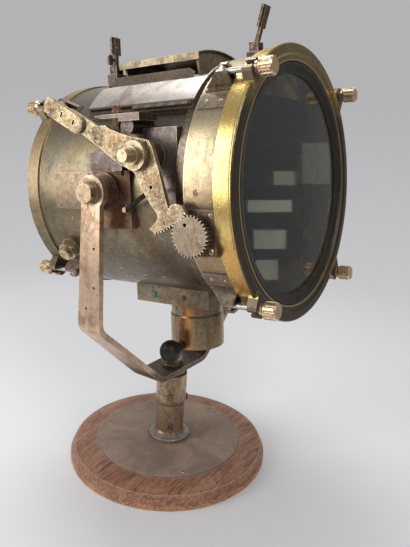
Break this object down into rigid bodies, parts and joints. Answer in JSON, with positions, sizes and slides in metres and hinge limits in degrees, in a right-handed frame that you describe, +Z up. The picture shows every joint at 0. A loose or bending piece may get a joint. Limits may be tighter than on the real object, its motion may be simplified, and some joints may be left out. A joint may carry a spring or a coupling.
{
  "type": "morse signal lamp",
  "caption": "Vintage morse signal lamp: metal drum in a yoke on a round wooden stand, with a lever-geared slat shutter, clamped front glass and hinged vent lids.",
  "frame": {"origin": "centre of the wooden base's underside, on the post's axis", "axes": "+Z up, the lamp looks along -Y, the trunnions lie along X with the lever on the -X side"},
  "size_m": [0.3634, 0.3815, 0.6053],
  "materials": {
    "black_grip": "satin black",
    "bright_brass": "rubbed bright",
    "bronze": "dark patina",
    "bulb_glass": "frosted",
    "copper_tan": "satin, aged",
    "dark_steel": "blackened",
    "glass": "smoked clear",
    "mirror": "polished",
    "old_brass": "grey-olive patina",
    "pale_brass": "satin, aged",
    "plate_metal": "dull brown",
    "red_brown": "rusty brown",
    "worn_wood": "worn dark stain"
  },
  "bodies": {
    "stand": {"wooden_base": "worn_wood", "base_plate": "plate_metal", "stand_screws": "bronze", "post": "bronze"},
    "yoke": {"yoke": "copper_tan", "yoke_spigot": "bronze"},
    "lamp": {"trunnion_bosses": "red_brown", "trunnion_bolts": "pale_brass", "body_shell": "old_brass", "front_band": "pale_brass", "bezel": "bright_brass", "glass": "glass", "glass_ring": "dark_steel", "rear_ring": "copper_tan", "rear_door": "old_brass", "clamp_lugs": "pale_brass", "sight_bases": "bronze", "drum_fasteners": "bronze", "gear_plate": "red_brown", "lever_brackets": "dark_steel", "pivot_stud": "copper_tan", "stop_screws": "copper_tan", "return_spring": "dark_steel", "saddle_block": "bronze", "lamp_socket": "bronze", "cable_gland": "pale_brass", "nameplate": "copper_tan", "reflector": "mirror", "bulb": "bulb_glass", "hood_base": "bronze"},
    "shutter_lever": {"shutter_lever": "pale_brass", "lever_handle": "pale_brass"},
    "vane_2": {"vane_2": "dark_steel", "pinion": "copper_tan"},
    "vane_1": {"vane_1": "dark_steel"},
    "vane_3": {"vane_3": "dark_steel"},
    "vane_4": {"vane_4": "dark_steel"},
    "vane_5": {"vane_5": "dark_steel"},
    "link_bar": {"link_bar": "dark_steel"},
    "hood_lid_near": {"hood_lid_near": "old_brass"},
    "hood_lid_far": {"hood_lid_far": "old_brass"},
    "rear_sight": {"rear_sight": "bronze"},
    "front_sight": {"front_sight": "bronze"},
    "front_bolt_near_top": {"front_bolt_near_top": "pale_brass"},
    "front_knob_near_top": {"front_knob_near_top": "pale_brass"},
    "front_bolt_near_bottom": {"front_bolt_near_bottom": "pale_brass"},
    "front_knob_near_bottom": {"front_knob_near_bottom": "pale_brass"},
    "front_bolt_far_top": {"front_bolt_far_top": "pale_brass"},
    "front_knob_far_top": {"front_knob_far_top": "pale_brass"},
    "front_bolt_far_bottom": {"front_bolt_far_bottom": "pale_brass"},
    "front_knob_far_bottom": {"front_knob_far_bottom": "pale_brass"},
    "rear_bolt_near_top": {"rear_bolt_near_top": "pale_brass"},
    "rear_knob_near_top": {"rear_knob_near_top": "pale_brass"},
    "rear_bolt_near_bottom": {"rear_bolt_near_bottom": "pale_brass"},
    "rear_knob_near_bottom": {"rear_knob_near_bottom": "pale_brass"},
    "rear_bolt_far_top": {"rear_bolt_far_top": "pale_brass"},
    "rear_knob_far_top": {"rear_knob_far_top": "pale_brass"},
    "rear_bolt_far_bottom": {"rear_bolt_far_bottom": "pale_brass"},
    "rear_knob_far_bottom": {"rear_knob_far_bottom": "pale_brass"},
    "ball_screw": {"ball_screw": "black_grip"}
  },
  "joints": [
    {"name": "pan", "type": "hinge", "parent": "stand", "child": "yoke", "pos_m": [0, 0, 0.121], "axis": [0, 0, 1], "continuous": true},
    {"name": "tilt", "type": "hinge", "parent": "yoke", "child": "lamp", "pos_m": [0, 0, 0.389], "axis": [1, 0, 0], "range_deg": [-45, 30]},
    {"name": "lever_press", "type": "hinge", "parent": "lamp", "child": "shutter_lever", "pos_m": [-0.163, -0.06078, 0.43329], "axis": [-1, 0, 0], "range_deg": [0, 20], "stiffness_Nm_per_rad": 1.2, "springref_deg": -28.65, "deforming": ["return_spring"]},
    {"name": "vane_2_turn", "type": "hinge", "parent": "lamp", "child": "vane_2", "pos_m": [0, -0.131, 0.35953], "axis": [-1, 0, 0], "range_deg": [-80, 0]},
    {"name": "vane_1_turn", "type": "hinge", "parent": "lamp", "child": "vane_1", "pos_m": [0, -0.13523, 0.31734], "axis": [-1, 0, 0], "range_deg": [-80, 0]},
    {"name": "vane_3_turn", "type": "hinge", "parent": "lamp", "child": "vane_3", "pos_m": [0, -0.12676, 0.40172], "axis": [-1, 0, 0], "range_deg": [-80, 0]},
    {"name": "vane_4_turn", "type": "hinge", "parent": "lamp", "child": "vane_4", "pos_m": [0, -0.12253, 0.44391], "axis": [-1, 0, 0], "range_deg": [-80, 0]},
    {"name": "vane_5_turn", "type": "hinge", "parent": "lamp", "child": "vane_5", "pos_m": [0, -0.1183, 0.4861], "axis": [-1, 0, 0], "range_deg": [-80, 0]},
    {"name": "link_bar_turn", "type": "hinge", "parent": "vane_3", "child": "link_bar", "pos_m": [0.1, -0.12048, 0.39528], "axis": [-1, 0, 0], "range_deg": [0, 80]},
    {"name": "hood_lid_near_hinge", "type": "hinge", "parent": "lamp", "child": "hood_lid_near", "pos_m": [-0.11884, -0.05458, 0.48613], "axis": [0, -0.995, 0.0998], "range_deg": [0, 95]},
    {"name": "hood_lid_far_hinge", "type": "hinge", "parent": "lamp", "child": "hood_lid_far", "pos_m": [0.11884, -0.05458, 0.48613], "axis": [0, 0.995, -0.0998], "range_deg": [0, 95]},
    {"name": "rear_sight_fold", "type": "hinge", "parent": "lamp", "child": "rear_sight", "pos_m": [-0.04, 0.08493, 0.53425], "axis": [-1, 0, 0], "range_deg": [0, 85]},
    {"name": "front_sight_fold", "type": "hinge", "parent": "lamp", "child": "front_sight", "pos_m": [-0.02, -0.11039, 0.56088], "axis": [-1, 0, 0], "range_deg": [0, 100]},
    {"name": "front_bolt_near_top_swing", "type": "hinge", "parent": "lamp", "child": "front_bolt_near_top", "pos_m": [-0.11289, -0.12543, 0.52114], "axis": [-0.7254, -0.0687, -0.6849], "range_deg": [0, 100]},
    {"name": "front_knob_near_top_spin", "type": "hinge", "parent": "front_bolt_near_top", "child": "front_knob_near_top", "pos_m": [-0.11289, -0.17493, 0.52611], "axis": [0, -0.995, 0.0998], "continuous": true},
    {"name": "front_bolt_near_bottom_swing", "type": "hinge", "parent": "lamp", "child": "front_bolt_near_bottom", "pos_m": [-0.10974, -0.14948, 0.28151], "axis": [0.7431, -0.0668, -0.6658], "range_deg": [0, 100]},
    {"name": "front_knob_near_bottom_spin", "type": "hinge", "parent": "front_bolt_near_bottom", "child": "front_knob_near_bottom", "pos_m": [-0.10974, -0.19898, 0.28648], "axis": [0, -0.995, 0.0998], "continuous": true},
    {"name": "front_bolt_far_top_swing", "type": "hinge", "parent": "lamp", "child": "front_bolt_far_top", "pos_m": [0.11994, -0.12614, 0.51407], "axis": [-0.682, 0.073, 0.7277], "range_deg": [0, 100]},
    {"name": "front_knob_far_top_spin", "type": "hinge", "parent": "front_bolt_far_top", "child": "front_knob_far_top", "pos_m": [0.11994, -0.17564, 0.51903], "axis": [0, -0.995, 0.0998], "continuous": true},
    {"name": "front_bolt_far_bottom_swing", "type": "hinge", "parent": "lamp", "child": "front_bolt_far_bottom", "pos_m": [0.10867, -0.14957, 0.28056], "axis": [0.749, 0.0662, 0.6593], "range_deg": [0, 100]},
    {"name": "front_knob_far_bottom_spin", "type": "hinge", "parent": "front_bolt_far_bottom", "child": "front_knob_far_bottom", "pos_m": [0.10867, -0.19908, 0.28553], "axis": [0, -0.995, 0.0998], "continuous": true},
    {"name": "rear_bolt_near_top_swing", "type": "hinge", "parent": "lamp", "child": "rear_bolt_near_top", "pos_m": [-0.10592, 0.11387, 0.48218], "axis": [0.7009, 0.0712, 0.7097], "range_deg": [0, 100]},
    {"name": "rear_knob_near_top_spin", "type": "hinge", "parent": "rear_bolt_near_top", "child": "rear_knob_near_top", "pos_m": [-0.10592, 0.16138, 0.47741], "axis": [0, 0.995, -0.0998], "continuous": true},
    {"name": "rear_bolt_near_bottom_swing", "type": "hinge", "parent": "lamp", "child": "rear_bolt_near_bottom", "pos_m": [-0.10316, 0.09282, 0.27233], "axis": [-0.7193, 0.0694, 0.6912], "range_deg": [0, 100]},
    {"name": "rear_knob_near_bottom_spin", "type": "hinge", "parent": "rear_bolt_near_bottom", "child": "rear_knob_near_bottom", "pos_m": [-0.10316, 0.14033, 0.26756], "axis": [0, 0.995, -0.0998], "continuous": true},
    {"name": "rear_bolt_far_top_swing", "type": "hinge", "parent": "lamp", "child": "rear_bolt_far_top", "pos_m": [0.10592, 0.11387, 0.48218], "axis": [0.7009, -0.0712, -0.7097], "range_deg": [0, 100]},
    {"name": "rear_knob_far_top_spin", "type": "hinge", "parent": "rear_bolt_far_top", "child": "rear_knob_far_top", "pos_m": [0.10592, 0.16138, 0.47741], "axis": [0, 0.995, -0.0998], "continuous": true},
    {"name": "rear_bolt_far_bottom_swing", "type": "hinge", "parent": "lamp", "child": "rear_bolt_far_bottom", "pos_m": [0.10316, 0.09282, 0.27233], "axis": [-0.7193, -0.0694, -0.6912], "range_deg": [0, 100]},
    {"name": "rear_knob_far_bottom_spin", "type": "hinge", "parent": "rear_bolt_far_bottom", "child": "rear_knob_far_bottom", "pos_m": [0.10316, 0.14033, 0.26756], "axis": [0, 0.995, -0.0998], "continuous": true},
    {"name": "ball_screw_turn", "type": "hinge", "parent": "lamp", "child": "ball_screw", "pos_m": [-0.062, -0.04077, 0.18304], "axis": [1, 0, 0], "continuous": true}
  ],
  "couplings": [
    {"joint": "vane_2_turn", "follows": "lever_press", "ratio": -4},
    {"joint": "vane_1_turn", "follows": "lever_press", "ratio": -4},
    {"joint": "vane_3_turn", "follows": "lever_press", "ratio": -4},
    {"joint": "vane_4_turn", "follows": "lever_press", "ratio": -4},
    {"joint": "vane_5_turn", "follows": "lever_press", "ratio": -4},
    {"joint": "link_bar_turn", "follows": "lever_press", "ratio": 4}
  ]
}
